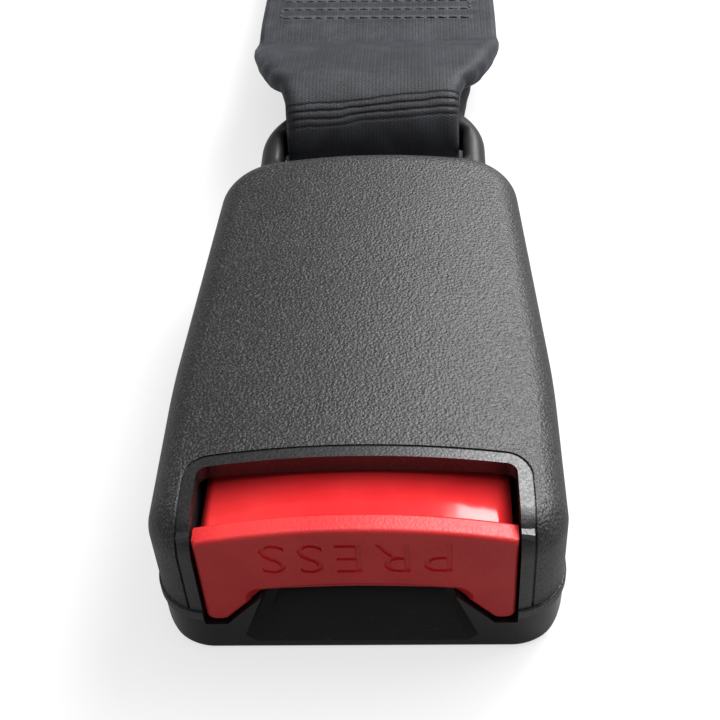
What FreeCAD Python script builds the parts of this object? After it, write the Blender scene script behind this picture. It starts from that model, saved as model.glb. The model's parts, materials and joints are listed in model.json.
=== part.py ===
"""Seat belt extender, built as an assembly of separate pieces, one STEP file for each.

The buckle stands on Z = 0 with its mouth facing -Y. The strap leaves its back and ends in a tongue at +Y.
All lengths are millimetres. The origin is the middle of the flat underside of the buckle.
"""

import FreeCAD
import Part
import math
import os

V = FreeCAD.Vector

# Housing, both covers
housing_length = 80.0
front_width = 53.0
rear_width = 46.8
parallel_length = 30.0
side_blend_radius = 160.0
front_corner_radius = 7.0
rear_corner_radius = 9.0
front_height = 25.8
rear_height = 24.2
crown_radius = 106.0
edge_radius = 5.0
wall = 2.2
parting_height = 7.0
parting_gap = 0.45
base_edge_radius = 4.5
front_base_radius = 1.0
front_base_reach = 3.3
floor_thickness = 2.0
bead_height = 1.5
bead_proud = 0.3
lip_clearance = 0.15
lip_thickness = 1.1
lip_rise = 1.6
root_depth = 0.5
snap_front = 22.0
snap_rear = 26.0
snap_length = 8.0
snap_gap = 0.5
snap_height = 1.2
snap_low = 1.0
snap_reach = 0.7
snap_lap = 0.2
snap_clearance = 0.3
hook_root = 5.0
crown_margin = 5.0
gate_clearance = 0.3
gate_depth = 3.0
back_clearance = 0.25
rib_half = 1.0
overrun = 1.0

# Opening for the button in the upper cover, and the fine line that runs round it
notch_length = 11.35
notch_corner_radius = 1.3
notch_clearance = 0.3
rim_depth = 2.85
rim_length = 1.8
rim_radius = 200.0
line_offset = 1.6
line_width = 0.35
line_depth = 0.25
line_foot = 0.2
guide_wall = 1.6
guide_reach = 10.0

# Push button
button_width = 39.8
button_travel = 5.5
button_setback = 0.4
face_thickness = 2.95
lip_height = 24.5
lip_crown_radius = 84.0
hood_drop = 2.0
hood_thickness = 1.4
hood_length = 12.5
hood_inset = 0.5
foot_height = 6.1
foot_width = 2.6
foot_outer_radius = 1.3
foot_inner_radius = 1.6
arch_corner_radius = 1.0
arch_height = 12.5
arch_half_width = 12.1
arch_rise = 0.35
face_edge_radius = 0.6
scoop_radius = 4.0
scoop_depth = 0.8
scoop_drop = 0.9
scoop_bend = 72.0
face_gap = 0.35
mouth_depth = 9.0
mouth_flare = 5.0
mouth_sill = 1.2
mouth_corner = 1.4
mouth_top_flare = 0.6
rail_setback = 2.0
hood_lap = 0.2
arm_thickness = 3.0
arm_depth = 8.0
ramp_rise = 9.5
arm_web = 1.8
arm_end_length = 3.0
arm_end_drop = 1.0
arm_web_radius = 1.0
arm_clearance = 0.5
arm_reach = 37.0

# Tongue, also the size that the mouth takes
blade_width = 21.5
blade_thickness = 2.5
blade_length = 31.0
blade_corner_radius = 4.0
window_width = 14.0
window_length = 8.5
window_bar = 7.2
window_radius = 1.5
channel_clearance = 0.6

# Steel frame
frame_thickness = 2.5
frame_height = 5.0
frame_front = 10.0
frame_rear = 33.0
frame_inner_width = 24.4
flange_top = 18.9
flange_front = 16.0
flange_length = 36.0
bend_radius = 0.6
flange_corner_radius = 6.0
plate_corner_radius = 3.0
pin_slack = 0.7
tooth_swing = 2.0
tooth_clearance = 0.6
tooth_gate_radius = 1.0
peg_radius = 1.5
peg_spread = 9.0
peg_setback = 5.0
peg_clearance = 0.1
peg_drop = 0.8

# Latch
tooth_width = 13.0
tooth_length = 3.8
tooth_reach = 1.0
tooth_rear = 24.0
tooth_tip_radii = (0.3, 0.5)
tooth_flat = 0.45
tooth_bevel = 0.7
tooth_nose = 0.4
latch_thickness = 3.0
latch_height = 12.2
latch_side_gap = 0.35
latch_shoulder = 1.5
latch_shoulder_length = 5.0
latch_corner_radii = (1.5, 2.0)
pivot_distance = 24.0
pivot_height = 15.4
pivot_radius = 2.0
knuckle_radius = 3.7
relief_half_width = 7.0
running_gap = 0.05
latch_lift_deg = 10.0
lift_pin_radius = 1.5
lift_pin_setback = 2.5
lift_pin_rise = 0.2
lift_pin_inset = 0.2
lift_pin_chamfer = 0.3
ear_foot_half = 3.4
ear_top_half = 2.6
ear_top_radius = 2.2
ear_cover = 1.2
ear_thickness = 3.0
knuckle_clearance = 1.0
ramp_gap = 0.15
pivot_end = 1.3
pivot_gap = 0.1
pivot_head = 0.9
pivot_head_rim = 1.2
groove_gap = 0.2
groove_width = 0.7
groove_depth = 0.5
clip_clearance = 0.05
clip_rim = 1.4
clip_mouth_half = 1.1

# Ejector
ejector_travel = 12.6
ejector_thickness = 2.8
ejector_length = 18.5
fork_length = 9.5
fork_gap = 0.8
ejector_gap = 0.6
ejector_corner_radius = 1.0
ejector_post_half = 2.2
ejector_post_length = 3.0
ejector_post_share = 0.9
slide_gap = 0.15

# Springs: outer radius, wire radius
ejector_spring = (1.9, 0.25)
button_spring = (1.9, 0.3)
latch_spring = (2.4, 0.3)
latch_spring_length = 5.5
spring_play = 0.05
spigot_share = 0.52
pocket_clearance = 0.3
pocket_floor = 2.0
spring_lift = 0.1
latch_spring_setback = 9.0
ejector_spring_turns = 9
button_spring_turns = 7
latch_spring_turns = 3
wire_sides = 6
steps_per_turn = 12

# Spring block
block_front = 54.0
block_length = 6.0
block_height = 17.5
spigot_length = 2.5
block_side = 0.4
block_wall = 1.5
block_floor = 13.0
block_edge_radius = 0.8

# Anchor lug behind the housing
anchor_thickness = 3.0
anchor_height = 10.7
anchor_seat_length = 10.5
anchor_crank_length = 5.5
anchor_seat_gap = 1.0
crank_radius = 2.0
neck_inset = 1.2
neck_setback = 4.0
neck_radius = 2.0
neck_shoulder_radius = 3.0
lug_half_width = 19.6
lug_reach = 28.0
lug_corner_radius = 15.0
sleeve_wall = 1.5
sleeve_edge_radius = 2.4
sleeve_front_radius = 1.0
slot_steel_share = 0.7
slot_corner_radius = 1.5
slot_edge_radius = 1.2
sleeve_gap = 0.4
slot_half_width = 15.8
slot_length = 10.0
bar_width = 10.0
rivet_radius = 2.2
rivet_head_radius = 3.7
rivet_head_height = 1.4
rivet_spread = 8.0

# Strap
strap_thickness = 1.35
strap_span = 113.0
pinch_clearance = 1.0
pinch_start = 3.0
pinch_start_radius = 10.0
pinch_end_radius = 12.0
loop_gap = 0.5
pinched_layers = 2
pinch_end = 27.0
sewn_start = 30.0
sewn_end = 34.0
sewn_drop = 0.4

# Tongue grip
grip_width = 62.0
grip_rail = 6.4
grip_shoulder = 12.0
grip_shoulder_radius = 14.0
grip_nose_radius = 5.0
grip_slot_radius = 2.5
grip_thickness = 10.8
grip_length = 32.0
grip_nose_width = 34.0
grip_corner_radius = 7.0
grip_edge_radius = 3.0
grip_bar_width = 7.6
grip_bar_thickness = 5.6
grip_bar_lap = 1.0
bar_roundness = 0.999
grip_slot = 6.5
grip_slot_clearance = 1.1
steel_cover = 1.5
steel_inset = 2.5
steel_shoulder = 6.0
steel_nose_setback = 5.0
steel_corner_radius = 3.0
steel_slot_radius = 1.0
blade_chamfer = 0.7

# Worked out from the sizes above
strap_width = grip_width - 2 * (grip_rail + grip_slot_clearance)
half = housing_length / 2
front_y = -half
slope = (front_height - rear_height) / housing_length
notch_half = button_width / 2 + notch_clearance
channel_half = blade_width / 2 + channel_clearance / 2
plate_top = frame_height + frame_thickness
blade_bottom = plate_top + slide_gap
flange_inner = frame_inner_width / 2
flange_outer = flange_inner + frame_thickness
tooth_back_y = front_y + tooth_rear
pivot_y = tooth_back_y + pivot_distance
latch_top = latch_height + latch_thickness
pin_y = tooth_back_y + lift_pin_setback
pin_z = latch_top + lift_pin_rise
arm_inner = flange_outer + arm_clearance
arm_outer = arm_inner + arm_thickness
arm_bottom = blade_bottom + blade_thickness
button_spring_x = arm_outer
button_spring_z = arm_bottom + arm_depth / 2
button_arm_end = front_y + arm_reach
lug_end = half + lug_reach
bar_y = lug_end - bar_width / 2
bar_z = anchor_height + anchor_thickness / 2
block_y = front_y + block_front
peg_y = front_y + frame_front + peg_setback
hood_inset_z = front_height - lip_height + hood_drop
tongue_bar_y = bar_y + strap_span
tongue_bar_z = grip_thickness / 2
grip_front_y = tongue_bar_y + grip_length
tip_y = grip_front_y + blade_length
parts_folder = "parts"


def rounded_wire(corners, place):
    """A closed wire through (a, b) or (a, b, radius) corners, with an arc where there is a radius."""
    runs = []
    count = len(corners)
    for i in range(count):
        a, b = corners[i][0], corners[i][1]
        radius = corners[i][2] if len(corners[i]) > 2 else 0.0
        if radius <= 0:
            runs.append([(a, b)])
            continue
        before, after = corners[i - 1], corners[(i + 1) % count]
        ua, ub = before[0] - a, before[1] - b
        va, vb = after[0] - a, after[1] - b
        ul, vl = math.hypot(ua, ub), math.hypot(va, vb)
        ua, ub, va, vb = ua / ul, ub / ul, va / vl, vb / vl
        angle = math.acos(max(-1.0, min(1.0, ua * va + ub * vb))) / 2
        reach = radius / math.tan(angle)
        ma, mb = ua + va, ub + vb
        ml = math.hypot(ma, mb)
        depth = radius / math.sin(angle) - radius
        runs.append([
            (a + ua * reach, b + ub * reach),
            (a + ma / ml * depth, b + mb / ml * depth),
            (a + va * reach, b + vb * reach),
        ])
    edges = []
    for i, run in enumerate(runs):
        start, end = place(*runs[i - 1][-1]), place(*run[0])
        if start.distanceToPoint(end) > 1e-6:
            edges.append(Part.makeLine(start, end))
        if len(run) == 3:
            edges.append(Part.Arc(place(*run[0]), place(*run[1]), place(*run[2])).toShape())
    return Part.Wire(edges)


def plan(corners, z0, z1):
    """A prism that stands on an outline seen from above."""
    wire = rounded_wire(corners, lambda a, b: V(a, b, z0))
    return Part.Face(wire).extrude(V(0, 0, z1 - z0))


def side(corners, x0, x1):
    """A prism across X whose outline is given as (y, z)."""
    wire = rounded_wire(corners, lambda a, b: V(x0, a, b))
    return Part.Face(wire).extrude(V(x1 - x0, 0, 0))


def front(corners, y0, y1):
    """A prism along Y whose outline is given as (x, z)."""
    wire = rounded_wire(corners, lambda a, b: V(a, y0, b))
    return Part.Face(wire).extrude(V(0, y1 - y0, 0))


def box(x0, x1, y0, y1, z0, z1):
    return Part.makeBox(x1 - x0, y1 - y0, z1 - z0, V(x0, y0, z0))


def rod(start, end, radius):
    axis = end - start
    return Part.makeCylinder(radius, axis.Length, start, axis)


def cross_rod(x0, x1, y, z, radius):
    """A round bar across X."""
    return rod(V(x0, y, z), V(x1, y, z), radius)


def long_rod(x, y0, y1, z, radius):
    """A round bar along Y."""
    return rod(V(x, y0, z), V(x, y1, z), radius)


def mirrored(shape):
    return shape.mirror(V(0, 0, 0), V(1, 0, 0))


def pair(shape):
    """The shape and its mirror image, left and right."""
    return [shape, mirrored(shape)]


def joined(shapes):
    whole = shapes[0]
    if len(shapes) > 1:
        whole = whole.multiFuse(shapes[1:])
    return whole.removeSplitter()


def less(shape, cutters):
    for cutter in cutters:
        shape = shape.cut(cutter)
    return shape


def rounded(shape, radius, wanted):
    """The shape with the edges that wanted() picks rounded."""
    edges = [edge for edge in shape.Edges if wanted(edge.BoundBox)]
    return shape.makeFillet(radius, edges)


def housing_outline(inset, ahead=0.0):
    """The housing seen from above, drawn in by inset on every side and made longer at the front by ahead."""
    wide = front_width / 2 - inset
    narrow = rear_width / 2 - inset
    end = half - inset
    bend = front_y + parallel_length
    return [
        (-wide, -end - ahead, front_corner_radius - inset),
        (wide, -end - ahead, front_corner_radius - inset),
        (wide, bend, side_blend_radius),
        (narrow, end, rear_corner_radius - inset),
        (-narrow, end, rear_corner_radius - inset),
        (-wide, bend, side_blend_radius),
    ]


def under_crown(inset, crown=crown_radius):
    """Everything below the crowned top of the housing, lowered by inset. It falls gently to the back."""
    margin = crown_margin
    reach = front_width
    radius = crown - inset
    centre = front_height - crown + slope * margin
    edge_z = centre + math.sqrt(radius**2 - reach**2)
    y0 = front_y - margin
    left, right = V(-reach, y0, edge_z), V(reach, y0, edge_z)
    arc = Part.Arc(left, V(0, y0, centre + radius), right).toShape()
    low_left, low_right = V(-reach, y0, -reach), V(reach, y0, -reach)
    wire = Part.Wire([
        arc,
        Part.makeLine(right, low_right),
        Part.makeLine(low_right, low_left),
        Part.makeLine(low_left, left),
    ])
    run = housing_length + 2 * margin
    return Part.Face(wire).extrude(V(0, run, -slope * run))


def crowned_body(inset, bottom):
    """The housing's outer form above bottom, drawn in by inset, with its top edge rounded."""
    tall = front_height + edge_radius
    body = plan(housing_outline(inset), bottom, tall).common(under_crown(inset))
    return rounded(body, edge_radius - inset, lambda b: b.ZMin > parting_height + edge_radius)


def band(inset_out, inset_in, z0, z1):
    """A ring that follows the housing's wall between two insets."""
    outer = plan(housing_outline(inset_out), z0, z1)
    return outer.cut(plan(housing_outline(inset_in), z0 - overrun, z1 + overrun))


def notch_outline(grow):
    """The opening for the button, seen from above, grown by grow at its sides and back."""
    x = notch_half + grow
    back = front_y + notch_length + grow
    ahead = front_y - edge_radius
    return [
        (-x, ahead),
        (x, ahead),
        (x, back, notch_corner_radius + grow),
        (-x, back, notch_corner_radius + grow),
    ]


def snap_ranges():
    """Where the snap hooks stand along each side."""
    starts = (front_y + snap_front, half - snap_rear)
    return [(y, y + snap_length) for y in starts]


def rear_gate(grow, z0, z1):
    """The gap in the back wall that the anchor plate comes out of."""
    x = lug_half_width - sleeve_wall + gate_clearance + grow
    return box(-x, x, half - wall - gate_depth, half + overrun, z0, z1)


def make_upper_cover():
    tall = front_height + edge_radius
    outer = crowned_body(0, parting_height)
    inner = crowned_body(wall, parting_height - overrun)
    bead = plan(housing_outline(-bead_proud), parting_height, parting_height + bead_height)
    bead = bead.makeChamfer(bead_proud / 2, [
        edge for edge in bead.Edges if edge.BoundBox.ZMin > parting_height + bead_height / 2
    ])
    shell = joined([outer, bead]).cut(inner)
    guide = box(
        notch_half, notch_half + guide_wall, front_y + wall / 2, front_y + notch_length + guide_reach,
        parting_height, tall,
    ).common(under_crown(wall / 2))
    spring_y = latch_spring_place()[1]
    boss = rod(V(0, spring_y, latch_top + latch_spring_length), V(0, spring_y, tall), latch_spring[0])
    boss = boss.common(under_crown(wall / 2))
    back = front_y + notch_length
    rim = box(-notch_half, notch_half, back - rim_length, back + rim_length, parting_height, tall)
    rim = rim.common(under_crown(wall / 2)).cut(under_crown(rim_depth, rim_radius))
    shell = joined([shell] + pair(guide) + [boss, rim])
    hooks = []
    leg_outer = wall + lip_clearance
    barb_low = floor_thickness + snap_low
    for y0, y1 in snap_ranges():
        slab = box(-front_width, front_width, y0, y1, 0, tall)
        root = band(wall - root_depth, leg_outer + lip_thickness, parting_height, parting_height + hook_root)
        leg = band(leg_outer, leg_outer + lip_thickness, barb_low, parting_height)
        barb = band(wall - snap_reach, leg_outer + snap_lap, barb_low, barb_low + snap_height)
        hooks.append(joined([root, leg, barb]).common(slab))
    notch = plan(notch_outline(0), parting_height - overrun, tall)
    shell = joined([shell] + hooks).cut(notch)
    line = plan(notch_outline(line_offset + line_width), parting_height + bead_height + line_foot, tall)
    line = line.cut(plan(notch_outline(line_offset), parting_height, tall))
    skin = outer.cut(crowned_body(line_depth, parting_height))
    gate = rear_gate(0, parting_height - overrun, anchor_height + anchor_thickness + gate_clearance)
    return less(shell, [line.common(skin), gate])


def button_profile(gap):
    """The lower edge of the button's face as (x, z), from right foot to left foot, lowered by gap."""
    foot = button_width / 2 - foot_width
    z = foot_height - gap
    top = arch_height - gap
    shoulder = top - arch_rise
    return [(foot, z), (arch_half_width, shoulder), (0, top), (-arch_half_width, shoulder), (-foot, z)]


def base_form(top):
    """The outside of the lower cover, rounded underneath at its sides and back and crisp at its front."""
    low_edge = lambda b: b.ZMax < 0.01
    soft = rounded(plan(housing_outline(0, front_base_reach), 0, top), base_edge_radius, low_edge)
    crisp = rounded(plan(housing_outline(0), 0, top), front_base_radius, low_edge)
    return crisp.common(soft)


def make_lower_cover():
    top = parting_height - parting_gap
    body = base_form(top).cut(plan(housing_outline(wall), floor_thickness, top + overrun))
    lip = band(
        wall + lip_clearance, wall + lip_clearance + lip_thickness, floor_thickness - root_depth,
        parting_height + lip_rise
    )
    free = snap_clearance
    pocket = band(
        wall - snap_reach - free, wall, floor_thickness + snap_low - free,
        floor_thickness + snap_low + snap_height + free
    )
    for y0, y1 in snap_ranges():
        lip = lip.cut(across(y0 - snap_gap, y1 + snap_gap, floor_thickness, front_height))
        body = body.cut(pocket.common(across(y0 - free, y1 + free, 0, top)))
    button_path = notch_half + guide_wall + notch_clearance
    foot_seat = foot_height - face_gap
    mouth_end = front_y + mouth_depth
    lip = lip.cut(box(-button_path, button_path, front_y, mouth_end, foot_seat, front_height))
    body = body.cut(box(-notch_half, notch_half, front_y - overrun, mouth_end, foot_seat, front_height))
    cheek_side = button_width / 2 - foot_width / 2
    edge = button_profile(face_gap)
    cheek_low = floor_thickness - root_depth
    outline = [(cheek_side, cheek_low), (cheek_side, edge[0][1])] + edge
    outline += [(-cheek_side, edge[0][1]), (-cheek_side, cheek_low)]
    cheeks = front(outline, front_y, mouth_end).common(base_form(arch_height))
    channel = box(
        -channel_half, channel_half, front_y - overrun, mouth_end + overrun, plate_top, arch_height + overrun
    )
    low_half = blade_width / 2 + mouth_flare
    funnel = Part.makeLoft([
        mouth_section(front_y - overrun, low_half, channel_half + mouth_top_flare, mouth_sill),
        mouth_section(mouth_end - overrun, channel_half, channel_half, plate_top),
    ], True, True)
    ribs = []
    for y in (peg_y, 0, frame_rear - 2 * rib_half):
        ribs.append(box(-flange_outer, flange_outer, y - rib_half, y + rib_half, cheek_low, frame_height))
    rail = box(
        arm_inner, arm_outer, mouth_end + rail_setback, button_arm_end, cheek_low, arm_bottom - slide_gap
    )
    pegs = [rod(place + V(0, 0, floor_thickness), place + V(0, 0, plate_top - peg_drop), peg_radius)
            for place in peg_places()]
    back = rear_gate(-back_clearance, floor_thickness, anchor_height - back_clearance)
    back = back.common(base_form(front_height))
    back = back.cut(plan(housing_outline(wall), floor_thickness, front_height))
    body = joined([body, lip, cheeks, back] + ribs + pair(rail) + pegs)
    return less(body, [channel, funnel])


def across(y0, y1, z0, z1):
    """A block wider than the housing, for cutting right across it."""
    return box(-front_width, front_width, y0, y1, z0, z1)


def peg_places():
    return [V(x, peg_y, 0) for x in (-peg_spread, peg_spread)]


def mouth_section(y, low_half, high_half, bottom):
    """One section of the funnel that leads the tongue in, wider at its floor than at its top."""
    top = arch_height + overrun
    side_z = bottom + mouth_corner * (low_half > high_half)
    places = [(low_half - mouth_corner, bottom), (low_half, side_z), (high_half, top)]
    places += [(-x, z) for x, z in reversed(places)]
    return Part.makePolygon([V(x, y, z) for x, z in places + places[:1]])


def arch_scoop(face_y):
    """The shallow hollow along the top of the arch in the button's face. It fades out in both legs."""
    y = face_y + scoop_depth - scoop_radius
    z = arch_height - scoop_drop
    ring = Part.makeTorus(scoop_bend, scoop_radius, V(0, y, z - scoop_bend), V(0, 1, 0))
    reach = arch_half_width
    ring = ring.common(box(-reach, reach, y, face_y + face_thickness, 0, front_height))
    end = Part.makeSphere(scoop_radius, V(reach, y, z - scoop_bend + math.sqrt(scoop_bend**2 - reach**2)))
    return [ring] + pair(end)


def make_press_button():
    width = button_width / 2
    face_y = front_y + button_setback
    radii = (foot_inner_radius, arch_corner_radius, 0, arch_corner_radius, foot_inner_radius)
    outline = [(width, front_height), (width, foot_height, foot_outer_radius)]
    outline += [(x, z, radius) for (x, z), radius in zip(button_profile(0), radii)]
    outline += [(-width, foot_height, foot_outer_radius), (-width, front_height)]
    face = front(outline, face_y, face_y + face_thickness)
    face = face.common(under_crown(front_height - lip_height, lip_crown_radius))
    face = rounded(face, face_edge_radius, lambda b: b.YMax < face_y + 0.01 or (
        b.YMin > face_y + face_thickness - 0.01 and b.ZMin > arch_height + edge_radius))
    face = less(face, arch_scoop(face_y))
    hood_y = face_y + face_thickness
    hood_half = width - hood_inset
    hood = box(-hood_half, hood_half, hood_y - hood_lap, hood_y + hood_length, 0, front_height)
    hood = hood.common(under_crown(hood_inset_z, lip_crown_radius))
    hood = hood.cut(under_crown(hood_inset_z + hood_thickness, lip_crown_radius))
    cheek = box(arm_inner, hood_half, hood_y - hood_lap, hood_y + hood_length, arm_bottom, front_height)
    cheek = cheek.common(under_crown(hood_inset_z + hood_thickness / 2, lip_crown_radius))
    return joined([face, hood] + pair(cheek) + pair(make_button_arm(hood_y)))


def ramp_tangent():
    """How steep the arm's ramp is, to lift the pin by the latch's full angle over the button's travel."""
    rise, run = pin_path(latch_lift_deg)
    return rise / (button_travel - run)


def pin_path(angle_deg):
    """How far the lift pin rises and how far it moves back when the latch turns by that angle."""
    reach = pivot_y - pin_y
    above = pin_z - pivot_height
    turn = math.radians(angle_deg)
    rise = reach * math.sin(turn) + above * math.cos(turn) - above
    back = reach - reach * math.cos(turn) + above * math.sin(turn)
    return rise, back


def make_button_arm(hood_y):
    """One side arm of the button, with the ramp that lifts the pin and the seat for its spring."""
    slant = ramp_tangent()
    turn = math.atan(slant)
    reach = lift_pin_radius + ramp_gap
    contact_y = pin_y - reach * math.sin(turn)
    contact_z = pin_z - reach * math.cos(turn)
    top = arm_bottom + ramp_rise
    web_top = arm_bottom + arm_web
    ramp_top_y = contact_y - (top - contact_z) / slant
    ramp_low_y = contact_y + (contact_z - web_top) / slant
    end_y = button_arm_end
    end_top = arm_bottom + arm_depth - arm_end_drop
    outline = [
        (hood_y, arm_bottom), (end_y, arm_bottom), (end_y, end_top),
        (end_y - arm_end_length, end_top), (end_y - arm_end_length, web_top, arm_web_radius),
        (ramp_low_y, web_top), (ramp_top_y, top), (hood_y, top),
    ]
    arm = side(outline, arm_inner, arm_outer)
    x, z = button_spring_x, button_spring_z
    pad_outer = x + button_spring[0]
    pad = box(arm_inner, pad_outer, end_y - arm_end_length, end_y, arm_bottom, end_top)
    spigot = long_rod(x, end_y - root_depth, end_y + spigot_length, z, button_spring[0] * spigot_share)
    return joined([arm, pad, spigot])


def make_frame():
    y0, y1 = front_y + flange_front, front_y + flange_front + flange_length
    channel = front([
        (-flange_outer, frame_height, bend_radius + frame_thickness),
        (flange_outer, frame_height, bend_radius + frame_thickness),
        (flange_outer, flange_top), (flange_inner, flange_top), (flange_inner, plate_top, bend_radius),
        (-flange_inner, plate_top, bend_radius), (-flange_inner, flange_top), (-flange_outer, flange_top),
    ], y0, y1)
    corner = flange_corner_radius
    keep = side(
        [(y0, 0), (y1, 0), (y1, flange_top, corner), (y0, flange_top, corner)], -front_width, front_width
    )
    x, ahead, behind = flange_inner - bend_radius, front_y + frame_front, frame_rear
    corner = plate_corner_radius
    plate = plan(
        [(-x, ahead, corner), (x, ahead, corner), (x, behind, corner), (-x, behind, corner)],
        frame_height, plate_top
    )
    body = joined([channel.common(keep), plate])
    back = pin_path(latch_lift_deg)[1]
    slack = lift_pin_radius + pin_slack
    pin_gate = across(pin_y - slack, pin_y + back + slack, pin_z - slack, flange_top + overrun)
    x = tooth_width / 2 + tooth_clearance
    ahead = tooth_back_y - tooth_length - tooth_swing
    behind = tooth_back_y + tooth_clearance
    corner = tooth_gate_radius
    tooth_gate = plan(
        [(-x, ahead, corner), (x, ahead, corner), (x, behind, corner), (-x, behind, corner)],
        0, plate_top + overrun
    )
    pivot = cross_rod(-front_width, front_width, pivot_y, pivot_height, pivot_radius + running_gap)
    holes = [rod(place, place + V(0, 0, front_height), peg_radius + peg_clearance) for place in peg_places()]
    return less(body, [pin_gate, tooth_gate, pivot] + holes + rivet_holes())


def rivet_places():
    y = anchor_seat_start() + anchor_seat_length / 2
    return [V(-rivet_spread, y, 0), V(rivet_spread, y, 0)]


def anchor_seat_start():
    return block_y + block_length + anchor_seat_gap


def rivet_holes():
    tall = V(0, 0, front_height)
    return [rod(place, place + tall, rivet_radius + running_gap) for place in rivet_places()]


def make_anchor_rivets():
    rivets = []
    up = V(0, 0, 1)
    for place in rivet_places():
        low = place + up * frame_height
        high = place + up * (plate_top + anchor_thickness)
        shank = rod(low, high, rivet_radius)
        heads = []
        for base, way in ((low, -1), (high, 1)):
            head = Part.makeCone(rivet_head_radius, rivet_radius, rivet_head_height, base, up * way)
            heads.append(head)
        rivets.append(joined([shank] + heads))
    return Part.makeCompound(rivets)


def lug_outline(inset):
    wide = lug_half_width - inset
    end = lug_end - inset
    start = anchor_seat_start()
    radius = lug_corner_radius - inset
    return [(-wide, start), (wide, start), (wide, end, radius), (-wide, end, radius)]


def slot_outline(grow):
    y1 = lug_end - bar_width + grow
    y0 = lug_end - bar_width - slot_length - grow
    x = slot_half_width + grow
    corner = slot_corner_radius + grow
    return [(-x, y0, corner), (x, y0, corner), (x, y1, corner), (-x, y1, corner)]


def make_anchor_plate():
    start = anchor_seat_start()
    crank = start + anchor_seat_length
    high = crank + anchor_crank_length
    end = lug_end
    t = anchor_thickness
    inside, outside = crank_radius, crank_radius + t
    strip = side([
        (start, plate_top), (crank, plate_top, inside), (high, anchor_height, outside), (end, anchor_height),
        (end, anchor_height + t), (high, anchor_height + t, inside), (crank, plate_top + t, outside),
        (start, plate_top + t),
    ], -front_width, front_width)
    neck = flange_outer - neck_inset
    wide = lug_half_width - sleeve_wall
    neck_end = half - wall - neck_setback
    shoulder = neck_end + wide - neck
    outline = [(neck, start, neck_radius), (neck, neck_end, neck_radius)]
    outline += [(wide, shoulder, neck_shoulder_radius), lug_outline(sleeve_wall)[2]]
    outline += [(-corner[0],) + corner[1:] for corner in reversed(outline)]
    body = strip.common(plan(outline, 0, front_height))
    return less(body, [plan(slot_outline(sleeve_wall * slot_steel_share), 0, front_height)] + rivet_holes())


def make_anchor_sleeve(anchor_plate):
    low = anchor_height - sleeve_wall
    high = anchor_height + anchor_thickness + sleeve_wall
    outline = lug_outline(0)
    y0 = half + sleeve_gap
    outline[:2] = [(-lug_half_width, y0, sleeve_front_radius), (lug_half_width, y0, sleeve_front_radius)]
    body = plan(outline, low, high)
    body = rounded(body, sleeve_edge_radius, lambda b: b.ZLength < 0.01 and b.YMax > y0 + sleeve_edge_radius)
    body = body.cut(plan(slot_outline(0), low - overrun, high + overrun))
    slot_end = lug_end - bar_width
    in_slot = box(-slot_half_width, slot_half_width, slot_end - slot_length, slot_end, low, high).BoundBox
    in_slot.enlarge(slot_edge_radius)
    body = rounded(body, slot_edge_radius, lambda b: b.ZLength < 0.01 and in_slot.isInside(b))
    return body.cut(anchor_plate)


def make_latch_plate():
    width = flange_inner - latch_side_gap
    nose = tooth_back_y - tooth_length - tooth_nose
    shoulder = nose + latch_shoulder_length
    nose_half = tooth_width / 2 + latch_shoulder
    small, large = latch_corner_radii
    plate = plan([
        (-nose_half, nose, small), (nose_half, nose, small), (width, shoulder, large),
        (width, pivot_y), (-width, pivot_y), (-width, shoulder, large),
    ], latch_height, latch_top)
    tooth_front_y = tooth_back_y - tooth_length
    tooth_low = plate_top - tooth_reach
    root = latch_height + root_depth
    tooth = side([
        (tooth_back_y, root), (tooth_back_y, tooth_low, tooth_tip_radii[0]),
        (tooth_back_y - tooth_length * tooth_flat, tooth_low, tooth_tip_radii[1]),
        (tooth_front_y, blade_bottom + blade_thickness * tooth_bevel), (tooth_front_y, root),
    ], -tooth_width / 2, tooth_width / 2)
    knuckle = cross_rod(-width, width, pivot_y, pivot_height, knuckle_radius)
    ear_top = pin_z + lift_pin_radius + ear_cover
    ear = side([
        (pin_y - ear_foot_half, root), (pin_y + ear_foot_half, root), (pin_y + ear_foot_half, latch_top),
        (pin_y + ear_top_half, ear_top, ear_top_radius), (pin_y - ear_top_half, ear_top, ear_top_radius),
        (pin_y - ear_foot_half, latch_top),
    ], width - ear_thickness, width)
    reach = width + overrun
    bore = cross_rod(-reach, reach, pivot_y, pivot_height, pivot_radius + running_gap)
    pin_bore = cross_rod(-reach, reach, pin_y, pin_z, lift_pin_radius)
    clear = knuckle_radius + knuckle_clearance
    relief = box(-relief_half_width, relief_half_width, pivot_y - clear, pivot_y + clear, 0, front_height)
    body = joined([plate, tooth, knuckle] + pair(ear))
    return less(body, [bore, pin_bore, relief])


def make_lift_pin():
    reach = arm_outer - lift_pin_inset
    pin = cross_rod(-reach, reach, pin_y, pin_z, lift_pin_radius)
    return pin.makeChamfer(lift_pin_chamfer, pin.Edges)


def make_pivot_pin():
    reach = flange_outer + pivot_end
    under_head = -flange_outer - pivot_gap
    groove_x = flange_outer + groove_gap
    pin = cross_rod(under_head, reach, pivot_y, pivot_height, pivot_radius)
    head_radius = pivot_radius + pivot_head_rim
    cap = cross_rod(under_head - pivot_head, under_head, pivot_y, pivot_height, head_radius)
    groove = cross_rod(groove_x, groove_x + groove_width, pivot_y, pivot_height, knuckle_radius)
    groove = groove.cut(cross_rod(0, reach, pivot_y, pivot_height, pivot_radius - groove_depth))
    return joined([pin, cap]).cut(groove)


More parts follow.
